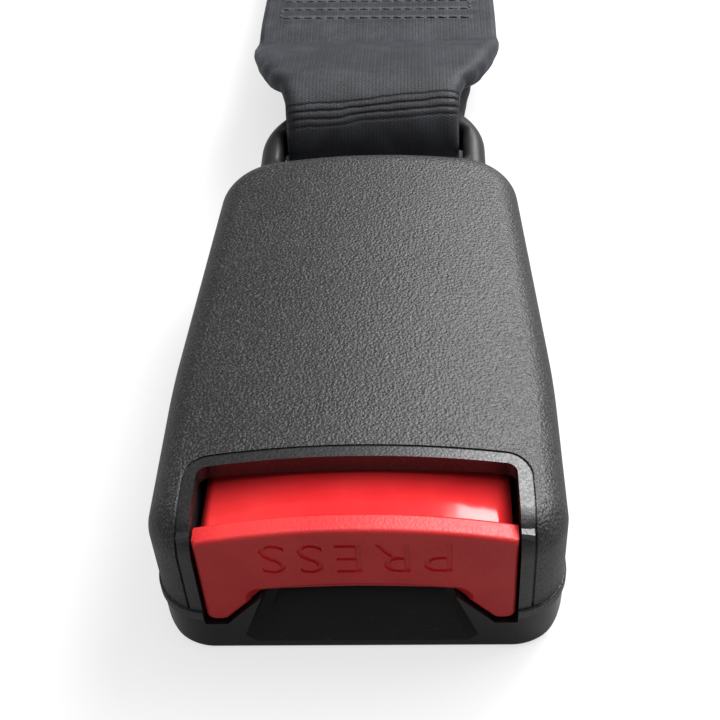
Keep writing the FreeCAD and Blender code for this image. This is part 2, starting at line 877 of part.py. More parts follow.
def make_pivot_clip():
    """The open ring that snaps into the pin's groove."""
    x0 = flange_outer + groove_gap + clip_clearance
    x1 = flange_outer + groove_gap + groove_width - clip_clearance
    hole_radius = pivot_radius - groove_depth + clip_clearance
    ring = cross_rod(x0, x1, pivot_y, pivot_height, pivot_radius + clip_rim)
    hole = cross_rod(x0 - overrun, x1 + overrun, pivot_y, pivot_height, hole_radius)
    y0, y1 = pivot_y - clip_mouth_half, pivot_y + clip_mouth_half
    mouth = box(x0 - overrun, x1 + overrun, y0, y1, pivot_height, front_height)
    return less(ring, [hole, mouth])


def make_ejector():
    width = flange_inner - bend_radius - slide_gap
    y0 = ejector_front()
    y1 = ejector_back()
    corner = ejector_corner_radius
    inner = tooth_width / 2 + fork_gap
    right = [(inner, y0 + fork_length), (inner, y0), (width, y0), (width, y1)]
    outline = [(x, y, corner) for x, y in right] + [(-x, y, corner) for x, y in reversed(right)]
    body = plan(outline, blade_bottom, blade_bottom + ejector_thickness)
    z = ejector_spring_z()
    post_top = z + ejector_spring[0] * ejector_post_share
    post = box(-ejector_post_half, ejector_post_half, y1 - ejector_post_length, y1, blade_bottom, post_top)
    spigot = long_rod(0, y1 - root_depth, y1 + spigot_length, z, ejector_spring[0] * spigot_share)
    return joined([body, post, spigot])


def ejector_spring_z():
    return blade_bottom + ejector_spring[0] + spring_lift


def ejector_front():
    return tooth_back_y - tooth_length - ejector_gap


def ejector_back():
    return ejector_front() + ejector_length


def make_spring_block():
    """The moulded block behind the latch that all three long springs push against."""
    wide = button_spring_x + button_spring[0] + block_side
    back = block_y + block_length
    body = box(-wide, wide, block_y, back, plate_top, block_height)
    z = ejector_spring_z()
    pocket = long_rod(0, block_y - overrun, back - pocket_floor, z, ejector_spring[0] + pocket_clearance)
    spigots = [long_rod(0, block_y + overrun, back - root_depth, z, ejector_spring[0] * spigot_share)]
    x, z = button_spring_x, button_spring_z
    radius = button_spring[0] * spigot_share
    spigots += pair(long_rod(x, block_y - spigot_length, block_y + root_depth, z, radius))
    hollow_half = flange_inner - block_wall
    hollow = box(
        -hollow_half, hollow_half, block_y + block_wall, back - block_wall, block_floor, front_height
    )
    full = block_height - plate_top - running_gap
    body = rounded(body.cut(hollow), block_edge_radius, lambda b: b.ZLength > full)
    return joined([body.cut(pocket)] + spigots)


def make_spring(sizes, turns, start, end):
    """A compression spring from start to end, its wire following a helix in short straight steps."""
    outer, wire = sizes
    axis = (end - start).normalize()
    across = axis.cross(V(0, 0, 1) if abs(axis.z) < 0.9 else V(1, 0, 0)).normalize()
    other = axis.cross(across)
    length = start.distanceToPoint(end) - 2 * wire
    mean = outer - wire
    sections = []
    steps = turns * steps_per_turn
    for i in range(steps + 1):
        angle = 2 * math.pi * i / steps_per_turn
        share = i / steps
        out = across * math.cos(angle) + other * math.sin(angle)
        centre = start + axis * (wire + length * share) + out * mean
        points = []
        for k in list(range(wire_sides)) + [0]:
            turn = 2 * math.pi * k / wire_sides
            points.append(centre + out * (wire * math.cos(turn)) + axis * (wire * math.sin(turn)))
        sections.append(Part.makePolygon(points))
    return Part.makeLoft(sections, True, True)


def latch_spring_place():
    return V(0, pin_y + latch_spring_setback, latch_top)


def spring_run(name):
    """Where each spring starts and ends at rest."""
    if name == "ejector":
        z = ejector_spring_z()
        end = block_y + block_length - pocket_floor - spring_play
        return V(0, ejector_back() + spring_play, z), V(0, end, z)
    if name == "latch":
        start = latch_spring_place()
        return start + V(0, 0, spring_play), start + V(0, 0, latch_spring_length - spring_play)
    x, z = button_spring_x, button_spring_z
    return V(x, button_arm_end + spring_play, z), V(x, block_y - spring_play, z)


def tangent_point(centre, radius, point, way):
    """Where a line from point touches a circle: its upper side for way 1, its lower side for way -1."""
    dy, dz = point[0] - centre[0], point[1] - centre[1]
    distance = math.hypot(dy, dz)
    base = math.atan2(dz, dy)
    swing = math.acos(radius / distance)
    angle = base + way * swing * (1 if dy > 0 else -1)
    return (centre[0] + radius * math.cos(angle), centre[1] + radius * math.sin(angle))


def loop_edges(centre, radius, upper, lower, away):
    """A line to a circle, the way round its far side, and a line back, as edges in the plane X = 0."""
    first = tangent_point(centre, radius, upper, 1)
    last = tangent_point(centre, radius, lower, -1)
    far = (centre[0] + away * radius, centre[1])
    at = lambda p: V(0, p[0], p[1])
    return [
        Part.makeLine(at(upper), at(first)),
        Part.Arc(at(first), at(far), at(last)).toShape(),
        Part.makeLine(at(last), at(lower)),
    ]


def make_webbing_strap():
    """The strap: a loop round the lug's bar, a sewn middle, and a loop round the tongue's bar."""
    lug = (bar_y, bar_z)
    tongue = (tongue_bar_y, tongue_bar_z)
    inner_lug = bar_width / 2 + loop_gap
    outer_lug = inner_lug + strap_thickness * pinched_layers
    inner_tongue = grip_bar_width / 2 + loop_gap
    outer_tongue = inner_tongue + strap_thickness
    along = tongue_bar_y - bar_y
    near = (bar_y + sewn_start, bar_z - sewn_drop)
    far = (tongue_bar_y - sewn_end, bar_z + (tongue_bar_z - bar_z) * (along - sewn_end) / along)
    t = strap_thickness
    top = [(p[0], p[1] + t) for p in (near, far)]
    low = [(p[0], p[1] - t) for p in (near, far)]
    at = lambda p: V(0, p[0], p[1])
    edges = loop_edges(lug, outer_lug, top[0], low[0], -1)
    edges.append(Part.makeLine(at(low[0]), at(low[1])))
    edges += loop_edges(tongue, outer_tongue, top[1], low[1], 1)
    edges.append(Part.makeLine(at(top[1]), at(top[0])))
    outer = Part.Face(Part.Wire(Part.__sortEdges__(edges)))
    wide = strap_width / 2
    body = outer.extrude(V(wide, 0, 0)).fuse(outer.extrude(V(-wide, 0, 0))).removeSplitter()
    voids = []
    for centre, radius, apex, away in ((lug, inner_lug, near, -1), (tongue, inner_tongue, far, 1)):
        wire = Part.Wire(Part.__sortEdges__(loop_edges(centre, radius, apex, apex, away)))
        hole = Part.Face(wire).extrude(V(2 * grip_width, 0, 0))
        hole.translate(V(-grip_width, 0, 0))
        voids.append(hole)
    pinched = slot_half_width - pinch_clearance
    start, end = bar_y + pinch_start, bar_y + pinch_end
    outline = [
        (pinched, half), (pinched, start, pinch_start_radius), (wide, end, pinch_end_radius),
        (wide, grip_front_y),
    ]
    outline += [(-corner[0],) + corner[1:] for corner in reversed(outline)]
    return less(body, voids).common(plan(outline, -front_height, 2 * front_height))


def tongue_outline():
    wide = grip_width / 2 - steel_inset
    nose = grip_nose_width / 2 - steel_cover
    blade = blade_width / 2
    y0 = tongue_bar_y - grip_bar_width / 2 + steel_cover
    y1 = tongue_bar_y + grip_slot + steel_shoulder
    y2 = grip_front_y - steel_nose_setback
    radius = steel_corner_radius
    right = [
        (wide, y0, radius), (wide, y1, 2 * radius), (nose, y2, radius), (blade, y2, radius / 2),
        (blade, tip_y, blade_corner_radius),
    ]
    return right + [(-corner[0],) + corner[1:] for corner in reversed(right)]


def make_tongue_plate():
    low = tongue_bar_z - blade_thickness / 2
    high = low + blade_thickness
    body = plan(tongue_outline(), low, high)
    window_y1 = tip_y - window_bar
    half_window = window_width / 2
    window = plan([
        (-half_window, window_y1 - window_length, window_radius),
        (half_window, window_y1 - window_length, window_radius),
        (half_window, window_y1, window_radius),
        (-half_window, window_y1, window_radius),
    ], low - overrun, high + overrun)
    x = strap_width / 2 + grip_slot_clearance + steel_cover
    y0 = tongue_bar_y + grip_bar_width / 2 - steel_cover
    y1 = tongue_bar_y + grip_bar_width / 2 + grip_slot + steel_cover
    corner = steel_slot_radius
    slot = plan(
        [(-x, y0, corner), (x, y0, corner), (x, y1, corner), (-x, y1, corner)], low - overrun, high + overrun
    )
    tip_edges = lambda b: b.YMin > tip_y - 0.01
    at_tip = [edge for edge in body.Edges if tip_edges(edge.BoundBox) and edge.BoundBox.ZLength < 0.01]
    body = body.makeChamfer(blade_chamfer, at_tip)
    return less(body, [window, slot])


def make_tongue_grip(tongue_plate):
    wide = grip_width / 2
    nose = grip_nose_width / 2
    y0 = tongue_bar_y - grip_bar_width / 2 - grip_bar_lap
    y1 = tongue_bar_y + grip_shoulder
    outline = [(wide, y0, grip_corner_radius), (wide, y1, grip_shoulder_radius)]
    outline.append((nose, grip_front_y, grip_nose_radius))
    outline += [(-corner[0],) + corner[1:] for corner in reversed(outline)]
    body = plan(outline, 0, grip_thickness)
    body = rounded(body, grip_edge_radius, lambda b: b.ZLength < 0.01)
    x = strap_width / 2 + grip_slot_clearance
    y_slot = tongue_bar_y + grip_bar_width / 2 + grip_slot
    ahead = y0 - grip_slot
    opening = plan([
        (-x, ahead), (x, ahead), (x, y_slot, grip_slot_radius), (-x, y_slot, grip_slot_radius),
    ], -overrun, grip_thickness + overrun)
    body = body.cut(opening)
    r = grip_bar_thickness / 2
    low, high = tongue_bar_z - r, tongue_bar_z + r
    ahead, behind = tongue_bar_y - grip_bar_width / 2, tongue_bar_y + grip_bar_width / 2
    corner = r * bar_roundness
    reach = x + steel_cover
    bar = side(
        [(ahead, low, corner), (behind, low, corner), (behind, high, corner), (ahead, high, corner)],
        -reach, reach
    )
    return joined([body, bar]).cut(tongue_plate)


def save(name, shape):
    solids = shape.Solids
    whole = solids[0] if len(solids) == 1 else Part.makeCompound(solids)
    if not whole.isValid():
        print("not valid:", name)
    whole.exportStep(os.path.join(parts_folder, name + ".step"))
    size = whole.BoundBox
    sides = f"{size.XLength:6.1f} {size.YLength:6.1f} {size.ZLength:6.1f}"
    print(f"{name:22s} {len(solids)} solids {whole.Volume:9.1f} mm3  {sides}")


def main():
    os.makedirs(parts_folder, exist_ok=True)
    anchor_plate = make_anchor_plate()
    tongue_plate = make_tongue_plate()
    right_spring = make_spring(button_spring, button_spring_turns, *spring_run("button"))
    save("upper_cover", make_upper_cover())
    save("lower_cover", make_lower_cover())
    save("press_button", make_press_button())
    save("frame", make_frame())
    save("anchor_plate", anchor_plate)
    save("anchor_rivets", make_anchor_rivets())
    save("anchor_sleeve", make_anchor_sleeve(anchor_plate))
    save("latch_plate", make_latch_plate())
    save("lift_pin", make_lift_pin())
    save("pivot_pin", make_pivot_pin())
    save("pivot_clip", make_pivot_clip())
    save("ejector", make_ejector())
    save("spring_block", make_spring_block())
    save("ejector_spring", make_spring(ejector_spring, ejector_spring_turns, *spring_run("ejector")))
    save("latch_spring", make_spring(latch_spring, latch_spring_turns, *spring_run("latch")))
    save("button_spring_right", right_spring)
    save("button_spring_left", mirrored(right_spring))
    save("webbing_strap", make_webbing_strap())
    save("tongue_plate", tongue_plate)
    save("tongue_grip", make_tongue_grip(tongue_plate))


main()
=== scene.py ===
import bpy
import bmesh
import json
import math
from mathutils import Matrix, Vector


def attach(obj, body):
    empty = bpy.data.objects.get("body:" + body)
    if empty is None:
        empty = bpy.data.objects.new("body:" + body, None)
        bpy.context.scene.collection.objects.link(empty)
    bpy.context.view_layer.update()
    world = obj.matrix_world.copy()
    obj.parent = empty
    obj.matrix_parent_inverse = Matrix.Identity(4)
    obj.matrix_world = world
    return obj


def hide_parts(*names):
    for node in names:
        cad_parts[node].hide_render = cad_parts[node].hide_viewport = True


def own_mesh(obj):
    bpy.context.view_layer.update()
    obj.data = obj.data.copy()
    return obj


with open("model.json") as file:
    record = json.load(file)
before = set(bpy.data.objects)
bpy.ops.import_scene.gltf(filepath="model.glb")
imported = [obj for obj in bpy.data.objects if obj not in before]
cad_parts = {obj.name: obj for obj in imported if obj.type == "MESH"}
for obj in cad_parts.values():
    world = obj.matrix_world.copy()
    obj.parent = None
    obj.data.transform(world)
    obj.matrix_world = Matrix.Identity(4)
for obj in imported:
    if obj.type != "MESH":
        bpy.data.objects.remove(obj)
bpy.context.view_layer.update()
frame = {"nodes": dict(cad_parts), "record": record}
nodes = frame["nodes"]
mm = 0.001


def addObject(name, data):
    added = bpy.data.objects.new(name, data)
    bpy.context.scene.collection.objects.link(added)
    return added


def meshOf(shape, name):  # ends the bmesh as a new mesh
    mesh = bpy.data.meshes.new(name)
    shape.to_mesh(mesh)
    shape.free()
    return mesh


def smooth(mesh):
    mesh.polygons.foreach_set("use_smooth", [True] * len(mesh.polygons))


# where the camera stood for the photograph
view = {
    "eye": Vector((9.87, -135.56, 147.64)) * mm, "tiltDown": 0.7764, "turn": -0.0783, "roll": 0.0718,
    "lens": 65.02, "sensorWidth": 36, "nearest": 0.01,
}


def makeCamera():
    cosTilt, sinTilt = math.cos(view["tiltDown"]), math.sin(view["tiltDown"])
    cosTurn, sinTurn = math.cos(view["turn"]), math.sin(view["turn"])
    ahead = Vector((sinTurn * cosTilt, cosTurn * cosTilt, -sinTilt))
    level = Vector((cosTurn, -sinTurn, 0))
    down = ahead.cross(level)
    cosRoll, sinRoll = math.cos(view["roll"]), math.sin(view["roll"])
    right = level * cosRoll + down * sinRoll
    up = level * sinRoll - down * cosRoll
    camera = addObject("photoCamera", bpy.data.cameras.new("photoCamera"))
    camera.data.sensor_width = view["sensorWidth"]
    camera.data.lens = view["lens"]
    camera.data.clip_start = view["nearest"]
    turned = Matrix((right, up, -ahead)).transposed().to_4x4()
    camera.matrix_world = Matrix.Translation(view["eye"]) @ turned
    bpy.context.scene.camera = camera


makeCamera()
print("camera placed")


class Signal:  # a socket's value, which adds its maths nodes when it is used in an expression
    def __init__(self, tree, socket):
        self.tree = tree
        self.socket = socket

    def math(self, operation, other=None, swapped=False):
        node = self.tree.nodes.new("ShaderNodeMath")
        node.operation = operation
        values = [self] if other is None else [other, self] if swapped else [self, other]
        for socket, value in zip(node.inputs, values):
            if isinstance(value, Signal):
                self.tree.links.new(value.socket, socket)
            else:
                socket.default_value = value
        return Signal(self.tree, node.outputs[0])

    def __add__(self, other):
        return self.math("ADD", other)

    def __sub__(self, other):
        return self.math("SUBTRACT", other)

    def __rsub__(self, other):
        return self.math("SUBTRACT", other, swapped=True)

    def __mul__(self, other):
        return self.math("MULTIPLY", other)

    def __truediv__(self, other):
        return self.math("DIVIDE", other)

    def __rtruediv__(self, other):
        return self.math("DIVIDE", other, swapped=True)

    def __abs__(self):
        return self.math("ABSOLUTE")

    __radd__ = __add__
    __rmul__ = __mul__


# how many layers of ever finer detail a noise has, and how strong the finer ones are
noiseKinds = {
    "calm": (1.0, 0.5), "plain": (2.0, 0.5), "broken": (2.0, 0.6), "cloudy": (3.0, 0.5), "rich": (3.0, 0.6),
    "wiry": (3.0, 0.7),
}


class Finish:  # one material, built node by node
    def __init__(self, name, color=(0.5, 0.5, 0.5), **fixed):
        self.material = bpy.data.materials.new(name)
        self.material.use_nodes = True
        self.tree = self.material.node_tree
        self.shader = self.tree.nodes["Principled BSDF"]
        self.shader.inputs["Base Color"].default_value = (*color, 1)
        for socket, value in fixed.items():
            self.shader.inputs[socket.replace("_", " ")].default_value = value

    def add(self, kind, settings=None, inputs=None, output=0):
        node = self.tree.nodes.new("ShaderNode" + kind)
        for key, value in (settings or {}).items():
            setattr(node, key, value)
        for key, value in (inputs or {}).items():
            self.feed(node.inputs[key], value)
        return Signal(self.tree, node.outputs[output])

    def feed(self, socket, value):
        if isinstance(value, Signal):
            self.tree.links.new(value.socket, socket)
        else:
            socket.default_value = value

    def place(self, scale=(1, 1, 1)):
        return self.add("Mapping", {}, {"Vector": self.add("TexCoord", output="Object"), "Scale": scale})

    def noise(self, size, kind="plain", vector=None):
        detail, roughness = noiseKinds[kind]
        return self.add("TexNoise", {}, {
            "Vector": vector or self.place(), "Scale": 1 / size, "Detail": detail, "Roughness": roughness,
        })

    def cells(self, size, softness):
        return self.add("TexVoronoi", {"feature": "SMOOTH_F1"}, {
            "Vector": self.place(), "Scale": 1 / size, "Smoothness": softness,
        })

    def axis(self, which, source="Object"):
        coords = self.add("TexCoord", output=source)
        return self.add("SeparateXYZ", {}, {"Vector": coords}, output=which)

    def blendColors(self, mask, first, second):
        # in the colour mode, the factor is input 0, the colours are 6 and 7, and the result is output 2
        settings = {"data_type": "RGBA", "blend_type": "MIX"}
        return self.add("Mix", settings, {0: mask, 6: first, 7: second}, output=2)

    def smoothStep(self, value, low, high):  # 0 at low and 1 at high; low may be the larger of the two
        settings = {"interpolation_type": "SMOOTHSTEP"}
        return self.add("MapRange", settings, {"Value": value, "From Min": low, "From Max": high})

    def use(self, color, roughness, height, depth):  # joins the colour, roughness and relief to the shader
        bump = self.add("Bump", {}, {"Height": height, "Distance": depth, "Strength": 1.0})
        for socket, value in (("Base Color", color), ("Roughness", roughness), ("Normal", bump)):
            self.feed(self.shader.inputs[socket], value)
        return self.material


def rgb(red, green, blue):
    return (red, green, blue, 1)


# the corner of the button's opening, which the smooth rim goes round
opening = {
    "halfWidth": 20.2 * mm, "back": -28.65 * mm, "corner": 1.3 * mm, "rim": 1.95 * mm, "rimFade": 0.1 * mm,
}


def rimOfOpening(finish):  # 1 on the smooth rim, and 0 on the grain round it
    beside = (abs(finish.axis("X")) - opening["halfWidth"] + opening["corner"]).math("MAXIMUM", 0)
    behind = (finish.axis("Y") - opening["back"] + opening["corner"]).math("MAXIMUM", 0)
    away = (beside * beside + behind * behind).math("SQRT") - opening["corner"]
    return finish.smoothStep(away, opening["rim"] + opening["rimFade"], opening["rim"] - opening["rimFade"])


def grainedBlack():  # spark-eroded black plastic, with a smooth rim round the button's opening
    look = {
        "grain": 0.40 * mm, "grainSoftness": 0.6, "grainShare": 0.55, "fine": 0.3 * mm, "fineShare": 0.6,
        "patches": 9 * mm, "patchShare": 0.08, "dustFrom": 0.54, "dustTo": 0.68, "depth": 0.17 * mm,
        "dark": rgb(0.009, 0.009, 0.010), "dusty": rgb(0.058, 0.058, 0.060),
        "roughLow": 0.36, "roughHigh": 0.54, "roughFrom": 0.2, "roughTo": 0.95,
        "rimFlat": 0.72, "rimClean": 0.8, "rimShine": 0.06,
    }
    finish = Finish("grainedBlack", (0.02, 0.02, 0.021), Specular_IOR_Level=0.62)
    coarse = finish.cells(look["grain"], look["grainSoftness"])
    fine = finish.noise(look["fine"], "rich")
    grain = coarse * look["grainShare"] + fine * look["fineShare"]
    rim = rimOfOpening(finish)
    speckle = fine + finish.noise(look["patches"]) * look["patchShare"]
    dust = finish.smoothStep(speckle, look["dustFrom"], look["dustTo"]) * (1 - rim * look["rimClean"])
    color = finish.blendColors(dust, look["dark"], look["dusty"])
    rough = finish.smoothStep(grain, look["roughFrom"], look["roughTo"])
    roughness = rough * (look["roughHigh"] - look["roughLow"]) + look["roughLow"] - rim * look["rimShine"]
    return finish.use(color, roughness, grain * (1 - rim * look["rimFlat"]), look["depth"])


def glossBlack():  # polished black plastic with hairline marks
    look = {
        "waves": 7 * mm, "hairs": 0.35 * mm, "hairStretch": (0.12, 1.0, 1.0), "hairHeight": 0.05,
        "markFrom": 0.6, "markTo": 0.78, "markPale": 0.35, "depth": 0.05 * mm,
        "dark": rgb(0.0075, 0.0075, 0.008), "pale": rgb(0.022, 0.022, 0.022),
        "rough": 0.16, "waveRough": 0.08, "markRough": 0.12,
    }
    finish = Finish("glossBlack", (0.008, 0.008, 0.009), Specular_IOR_Level=0.35)
    waves = finish.noise(look["waves"])
    hairs = finish.noise(look["hairs"], vector=finish.place(look["hairStretch"]))
    marks = finish.smoothStep(hairs, look["markFrom"], look["markTo"])
    roughness = waves * look["waveRough"] + marks * look["markRough"] + look["rough"]
    color = finish.blendColors(marks * look["markPale"], look["dark"], look["pale"])
    return finish.use(color, roughness, waves + hairs * look["hairHeight"], look["depth"])


def satinBlack():  # the lug's smooth moulding
    look = {
        "waves": 5 * mm, "fine": 0.2 * mm, "fineHeight": 0.3, "depth": 0.02 * mm,
        "markFrom": 0.5, "markTo": 0.8, "markPale": 0.4,
        "dark": rgb(0.011, 0.011, 0.012), "pale": rgb(0.03, 0.03, 0.031),
        "rough": 0.33, "waveRough": 0.1, "fineRough": 0.08,
    }
    finish = Finish("satinBlack", (0.012, 0.012, 0.013), Specular_IOR_Level=0.5)
    waves = finish.noise(look["waves"])
    fine = finish.noise(look["fine"], "rich")
    marks = finish.smoothStep(fine, look["markFrom"], look["markTo"])
    roughness = waves * look["waveRough"] + fine * look["fineRough"] + look["rough"]
    color = finish.blendColors(marks * look["markPale"], look["dark"], look["pale"])
    return finish.use(color, roughness, fine * look["fineHeight"] + waves, look["depth"])


def redPlastic():  # glossy where the top is recessed, finely grained on the lip and face
    look = {
        "faceBack": -37.0 * mm, "fadeBehind": 0.05 * mm, "fadeAhead": 0.15 * mm,
        "grain": 0.3 * mm, "grainShare": 0.6, "pits": 0.36 * mm, "pitSoftness": 0.5, "pitShare": 0.6,
        "waves": 3.5 * mm, "faceHeight": 0.9, "waveHeight": 0.5, "depth": 0.045 * mm,
        "tone": 8 * mm, "toneFrom": 0.3, "toneTo": 0.7, "scatter": (0.0012, 0.0003, 0.0002),
        "deep": rgb(0.70, 0.022, 0.026), "light": rgb(0.78, 0.034, 0.036),
        "faceRough": 0.3, "grainRough": 0.25, "topRough": 0.1, "waveRough": 0.05,
    }
    finish = Finish("redPlastic", (0.7, 0.02, 0.02), Specular_IOR_Level=0.5, Subsurface_Weight=0.05,
                    Subsurface_Radius=look["scatter"], Subsurface_Scale=1.0)
    faceBack = look["faceBack"]
    ahead = finish.smoothStep(finish.axis("Y"), faceBack + look["fadeBehind"], faceBack - look["fadeAhead"])
    grain = finish.noise(look["grain"], "rich")
    pits = finish.cells(look["pits"], look["pitSoftness"])
    waves = finish.noise(look["waves"], "calm")
    texture = grain * look["grainShare"] + pits * look["pitShare"]
    height = texture * ahead * look["faceHeight"] + waves * (1 - ahead) * look["waveHeight"]
    tone = finish.smoothStep(finish.noise(look["tone"]), look["toneFrom"], look["toneTo"])
    color = finish.blendColors(tone, look["deep"], look["light"])
    onFace = texture * look["grainRough"] + look["faceRough"]
    onTop = waves * look["waveRough"] + look["topRough"]
    return finish.use(color, ahead * onFace + (1 - ahead) * onTop, height, look["depth"])


# plated, hardened, polished and spring steel, each with fine streaks and a duller worn tone
steels = {
    "streaks": 0.25 * mm, "clouds": 4 * mm, "streakShare": 0.4, "wornFrom": 0.55, "wornTo": 0.95,
    "cloudRough": 0.08, "depth": 0.006 * mm, "rolled": (1.0, 0.06, 1.0), "drawn": (1, 1, 1),
}


def steel(name, bright, worn, low, high, stretch=steels["rolled"]):
    finish = Finish(name, bright, Metallic=1.0)
    streaks = finish.noise(steels["streaks"], "broken", finish.place(stretch))
    clouds = finish.noise(steels["clouds"], "rich")
    wear = finish.smoothStep(clouds + streaks * steels["streakShare"], steels["wornFrom"], steels["wornTo"])
    color = finish.blendColors(wear, rgb(*bright), rgb(*worn))
    roughness = streaks * (high - low) + clouds * steels["cloudRough"] + low
    return finish.use(color, roughness, streaks, steels["depth"])


def paleAcetal():
    look = {
        "scatter": (0.001, 0.0009, 0.0007), "clouds": 6 * mm, "grain": 0.3 * mm, "depth": 0.01 * mm,
        "light": rgb(0.80, 0.79, 0.74), "dark": rgb(0.70, 0.68, 0.62), "rough": 0.3, "cloudRough": 0.2,
    }
    finish = Finish("paleAcetal", (0.78, 0.77, 0.72), Specular_IOR_Level=0.45, Subsurface_Weight=0.1,
                    Subsurface_Radius=look["scatter"], Subsurface_Scale=1.0)
    clouds = finish.noise(look["clouds"], "cloudy")
    color = finish.blendColors(clouds, look["light"], look["dark"])
    roughness = clouds * look["cloudRough"] + look["rough"]
    return finish.use(color, roughness, finish.noise(look["grain"]), look["depth"])


# narrow belt webbing: lengthwise ribs, each crossed by its own twill; four creases lie across it over the
# bar, each given by its place and depth, and the rows of sewing pucker it; the colour is painted shade that
# follows this relief, dark in the hollows, creases and pucker troughs and pale on the raised weave
weave = {
    "rib": 0.62 * mm, "ribHeight": 0.16, "pick": 0.46 * mm, "pickHeight": 0.22, "slant": 1.0,
    "fibres": 0.09 * mm, "fibreHeight": 0.4, "depth": 0.11 * mm,
    "creases": [(5.4 * mm, 1.54), (6.7 * mm, 2.2), (8.0 * mm, 1.76), (9.2 * mm, 0.88)],
    "creaseSlant": -0.07, "creaseWidth": 0.28 * mm, "wander": 7 * mm, "wanderBy": 1.6 * mm,
    "pucker": 3.9 * mm, "puckerSlant": 0.055, "puckerFrom": -39.4 * mm, "puckerTo": -76.5 * mm,
    "puckerFadeFrom": 2.5 * mm, "puckerFadeTo": 1.5 * mm, "puckerFadeOut": 1 * mm,
    "puckerHalfWidth": 18.0 * mm, "puckerSideFade": 2.5 * mm, "puckerPatches": 1.6 * mm, "puckerDepth": 0.9,
    "shadeFrom": 0.25, "shadeTo": 1.1, "dark": rgb(0.007, 0.007, 0.009), "pale": rgb(0.056, 0.061, 0.076),
    "faded": rgb(0.065, 0.07, 0.085), "fadedPatches": 6 * mm, "fadedFrom": 0.35, "fadedTo": 0.8,
    "fadedShare": 0.35,
    "rough": 0.52, "shadeShine": 0.14, "fibreRough": 0.12, "sheenTint": rgb(0.75, 0.8, 1.0),
}


def wovenHeight(across, along, fibres):
    count = across / weave["rib"]
    within = count.math("FRACT")
    odd = (count.math("FLOOR") * 0.5).math("FRACT") * 2
    ribs = (within * math.pi).math("SINE")
    slide = within * weave["slant"] * (1 - odd * 2)
    picks = ((along / weave["pick"] + slide) * (2 * math.pi)).math("SINE") * 0.5 + 0.5
    return ribs * weave["ribHeight"] + picks * weave["pickHeight"] + fibres * weave["fibreHeight"]


def puckeredHeight(finish, across, along):  # waves across the belt, from the first to the last row of sewing
    first, last, half = weave["puckerFrom"], weave["puckerTo"], weave["puckerHalfWidth"]
    turns = (along - across * weave["puckerSlant"] - first) * (2 * math.pi / weave["pucker"])
    sewn = finish.smoothStep(along, first + weave["puckerFadeFrom"], first + weave["puckerFadeTo"])
    sewn = sewn * finish.smoothStep(along, last - weave["puckerFadeOut"], last)
    sewn = sewn * finish.smoothStep(abs(across), half + weave["puckerSideFade"], half)
    patches = finish.noise(weave["puckerPatches"], "calm")
    return turns.math("COSINE") * sewn * (patches * weave["puckerDepth"])


def beltWebbing():
    finish = Finish("beltWebbing", (0.02, 0.021, 0.025), Specular_IOR_Level=0.4, Sheen_Weight=0.1,
                    Sheen_Roughness=0.4, Sheen_Tint=weave["sheenTint"])
    across, along = finish.axis("X", "UV"), finish.axis("Y", "UV")
    fibres = finish.noise(weave["fibres"], "wiry")
    height = wovenHeight(across, along, fibres) + puckeredHeight(finish, across, along)
    wander = finish.noise(weave["wander"]) * weave["wanderBy"]
    for place, deep in weave["creases"]:
        away = (along - across * weave["creaseSlant"] + wander - place) / weave["creaseWidth"]
        height = height - (away * away * -1).math("EXPONENT") * deep
    # painted shade: the colour darkens with the relief, in the weave's hollows, the creases and the sewn
    # rows' troughs
    shade = finish.smoothStep(height, weave["shadeFrom"], weave["shadeTo"])
    tone = finish.blendColors(shade, weave["dark"], weave["pale"])
    patches = finish.noise(weave["fadedPatches"], "rich")
    faded = finish.smoothStep(patches, weave["fadedFrom"], weave["fadedTo"]) * weave["fadedShare"]
    color = finish.blendColors(faded, tone, weave["faded"])
    roughness = weave["rough"] - shade * weave["shadeShine"] + fibres * weave["fibreRough"]
    return finish.use(color, roughness, height, weave["depth"])


def sewingThread():
    look = {
        "ply": 2.2 * mm, "distortion": 1.0, "depth": 0.05 * mm, "rough": 0.45, "plyRough": 0.2,
        "dark": rgb(0.008, 0.008, 0.009), "pale": rgb(0.035, 0.036, 0.04),
    }
    finish = Finish("sewingThread", (0.02, 0.02, 0.022), Specular_IOR_Level=0.4, Sheen_Weight=0.2)
    ply = finish.add("TexWave", {"wave_type": "BANDS", "bands_direction": "DIAGONAL"}, {
        "Vector": finish.place(), "Scale": 1 / look["ply"], "Distortion": look["distortion"],
    })
    color = finish.blendColors(ply, look["dark"], look["pale"])
    return finish.use(color, ply * look["plyRough"] + look["rough"], ply, look["depth"])


finishes = {
    "grained_black": grainedBlack(),
    "gloss_black": glossBlack(),
    "satin_black": satinBlack(),
    "red_plastic": redPlastic(),
    "zinc_steel": steel("zincSteel", bright=(0.62, 0.62, 0.6), worn=(0.45, 0.45, 0.44), low=0.28, high=0.5),
    "hard_steel": steel("hardSteel", bright=(0.32, 0.32, 0.33), worn=(0.2, 0.19, 0.19), low=0.32, high=0.55),
    "bright_steel": steel("brightSteel", bright=(0.82, 0.82, 0.83), worn=(0.66, 0.66, 0.67),
                          low=0.1, high=0.26),
    "spring_steel": steel("springSteel", bright=(0.5, 0.5, 0.52), worn=(0.32, 0.32, 0.33),
                          low=0.2, high=0.35, stretch=steels["drawn"]),
    "pale_plastic": paleAcetal(),
    "black_webbing": beltWebbing(),
    "thread": sewingThread(),
}
for part in frame["record"]["subparts"]:
    mesh = nodes[part["node"]].data
    mesh.materials.clear()
    mesh.materials.append(finishes[part["material_slot"]])
print("finishes made")


def makePiece(mesh, name, body, finish):
    piece = addObject(name, mesh)
    mesh.materials.clear()
    mesh.materials.append(finishes[finish])
    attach(piece, body)
    return piece


def settled(piece, name):  # the piece's mesh with its modifiers applied
    bpy.context.view_layer.update()
    shown = piece.evaluated_get(bpy.context.evaluated_depsgraph_get())
    mesh = bpy.data.meshes.new_from_object(shown)
    mesh.name = name
    return mesh


